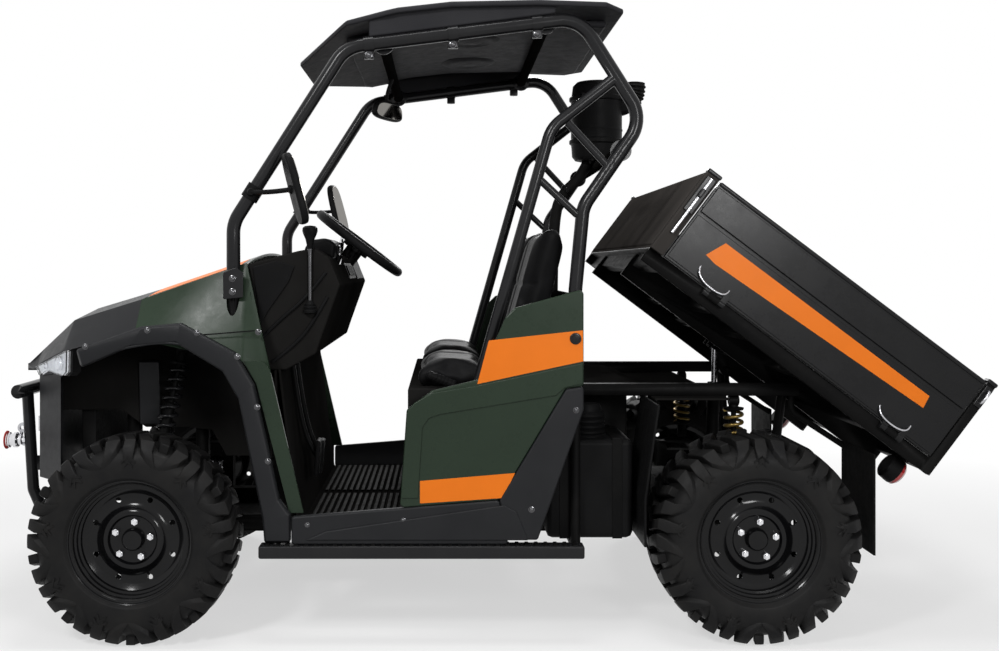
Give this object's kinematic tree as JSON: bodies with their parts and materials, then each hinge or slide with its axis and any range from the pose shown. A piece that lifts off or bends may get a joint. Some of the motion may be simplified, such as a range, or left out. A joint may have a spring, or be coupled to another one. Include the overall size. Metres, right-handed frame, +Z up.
{
  "type": "side-by-side utility vehicle",
  "caption": "Two-seat off-road utility vehicle with a tube cage and roof, steering, lug-tyred wheels, and a hydraulic tipping bed with drop sides, shown raised.",
  "frame": {"origin": "on the ground, on the centre plane, at the middle of the overall length with the bed raised", "axes": "+Z up, -X towards the front of the vehicle, -Y towards its left side"},
  "size_m": [3.2124, 1.52, 2.028],
  "materials": {
    "tyre": "matte",
    "rim": "gloss",
    "frame": "satin",
    "suspension": "satin",
    "shock": "satin",
    "green": "gloss",
    "trim": "matte",
    "cage": "satin",
    "roof": "satin",
    "seat": "matte",
    "lamp": "gloss",
    "tail_lamp": "gloss",
    "control": "satin",
    "winch": "satin",
    "engine": "matte",
    "tank": "matte",
    "flap": "matte",
    "bed": "gloss",
    "steel": "satin"
  },
  "bodies": {
    "chassis": {"rear_hub_carriers": "suspension", "suspension_arms": "suspension", "shock_absorbers": "shock", "drive_shafts": "steel", "steering_gear": "control", "gear_lever": "control", "chassis_frame": "frame", "belly_plate": "frame", "tow_hitch": "frame", "floor_pan": "trim", "hood": "green", "nose_cover": "trim", "front_fenders": "green", "arch_trims": "trim", "headlamps": "lamp", "bull_bar": "cage", "winch": "winch", "dashboard": "trim", "roll_cage_sides": "cage", "roll_cage_cross_tubes": "cage", "roof_panel": "roof", "mirrors": "trim", "seat_base": "trim", "seat_cushions": "seat", "seat_backs": "seat", "side_panels": "green", "rear_trims": "trim", "sills": "trim", "step_bars": "cage", "engine": "engine", "engine_cover": "trim", "rear_guards": "trim", "axle_gearboxes": "engine", "fuel_tank": "tank", "air_cleaner": "tank", "mud_flaps": "flap", "radiator": "engine", "muffler": "frame"},
    "wheel_front_left": {"tyre_front_left": "tyre", "rim_front_left": "rim"},
    "wheel_front_right": {"tyre_front_right": "tyre", "rim_front_right": "rim"},
    "wheel_rear_left": {"tyre_rear_left": "tyre", "rim_rear_left": "rim"},
    "wheel_rear_right": {"tyre_rear_right": "tyre", "rim_rear_right": "rim"},
    "knuckle_left": {"knuckle_left": "suspension"},
    "knuckle_right": {"knuckle_right": "suspension"},
    "steering_rack": {"steering_rack": "steel"},
    "steering_wheel": {"steering_wheel": "control"},
    "bed": {"bed_floor": "bed", "bed_headboard": "bed", "tail_lamps": "tail_lamp"},
    "tailgate": {"tailgate": "bed"},
    "bed_side_left": {"bed_side_left": "bed"},
    "bed_side_right": {"bed_side_right": "bed"},
    "lift_barrel": {"lift_barrel": "frame"},
    "lift_rod": {"lift_rod": "steel"}
  },
  "joints": [
    {"name": "steer_left", "type": "hinge", "parent": "chassis", "child": "knuckle_left", "pos_m": [-1.08125, -0.59, 0.325], "axis": [0, 0, 1], "range_deg": [-30, 30]},
    {"name": "steer_right", "type": "hinge", "parent": "chassis", "child": "knuckle_right", "pos_m": [-1.08125, 0.59, 0.325], "axis": [0, 0, 1], "range_deg": [-30, 30]},
    {"name": "rack_slide", "type": "slide", "parent": "chassis", "child": "steering_rack", "axis": [0, 1, 0], "range_m": [-0.036, 0.036]},
    {"name": "steering_wheel_turn", "type": "hinge", "parent": "chassis", "child": "steering_wheel", "pos_m": [-0.40125, -0.33, 1.258], "axis": [0.6018, 0, 0.7986], "range_deg": [-275, 275]},
    {"name": "wheel_front_left_spin", "type": "hinge", "parent": "knuckle_left", "child": "wheel_front_left", "pos_m": [-1.08125, -0.645, 0.325], "axis": [0, 1, 0], "continuous": true},
    {"name": "wheel_front_right_spin", "type": "hinge", "parent": "knuckle_right", "child": "wheel_front_right", "pos_m": [-1.08125, 0.645, 0.325], "axis": [0, 1, 0], "continuous": true},
    {"name": "wheel_rear_left_spin", "type": "hinge", "parent": "chassis", "child": "wheel_rear_left", "pos_m": [0.86875, -0.62, 0.325], "axis": [0, 1, 0], "continuous": true},
    {"name": "wheel_rear_right_spin", "type": "hinge", "parent": "chassis", "child": "wheel_rear_right", "pos_m": [0.86875, 0.62, 0.325], "axis": [0, 1, 0], "continuous": true},
    {"name": "bed_tip", "type": "hinge", "parent": "chassis", "child": "bed", "pos_m": [1.03875, 0, 0.762], "axis": [0, 1, 0], "range_deg": [-37, 0]},
    {"name": "tailgate_drop", "type": "hinge", "parent": "bed", "child": "tailgate", "pos_m": [1.42029, 0, 0.55713], "axis": [0, 1, 0], "range_deg": [0, 90]},
    {"name": "side_left_drop", "type": "hinge", "parent": "bed", "child": "bed_side_left", "pos_m": [1.07847, -0.72, 0.81471], "axis": [0.7986, 0, -0.6018], "range_deg": [0, 90]},
    {"name": "side_right_drop", "type": "hinge", "parent": "bed", "child": "bed_side_right", "pos_m": [1.07847, 0.72, 0.81471], "axis": [-0.7986, 0, 0.6018], "range_deg": [0, 90]},
    {"name": "lift_swing", "type": "hinge", "parent": "chassis", "child": "lift_barrel", "pos_m": [0.89375, 0, 0.48], "axis": [0, 1, 0], "range_deg": [-12, 0.5]},
    {"name": "lift_extend", "type": "slide", "parent": "lift_barrel", "child": "lift_rod", "axis": [0.0297, 0, 0.9996], "range_m": [-0.105, 0.001]}
  ],
  "couplings": [
    {"joint": "steer_right", "follows": "steer_left", "ratio": 1},
    {"joint": "rack_slide", "follows": "steer_left", "m_per_rad": 0.0668},
    {"joint": "steering_wheel_turn", "follows": "steer_left", "ratio": 9},
    {"joint": "lift_swing", "follows": "bed_tip", "ratio": 0.2465},
    {"joint": "lift_extend", "follows": "bed_tip", "m_per_rad": 0.1609}
  ]
}
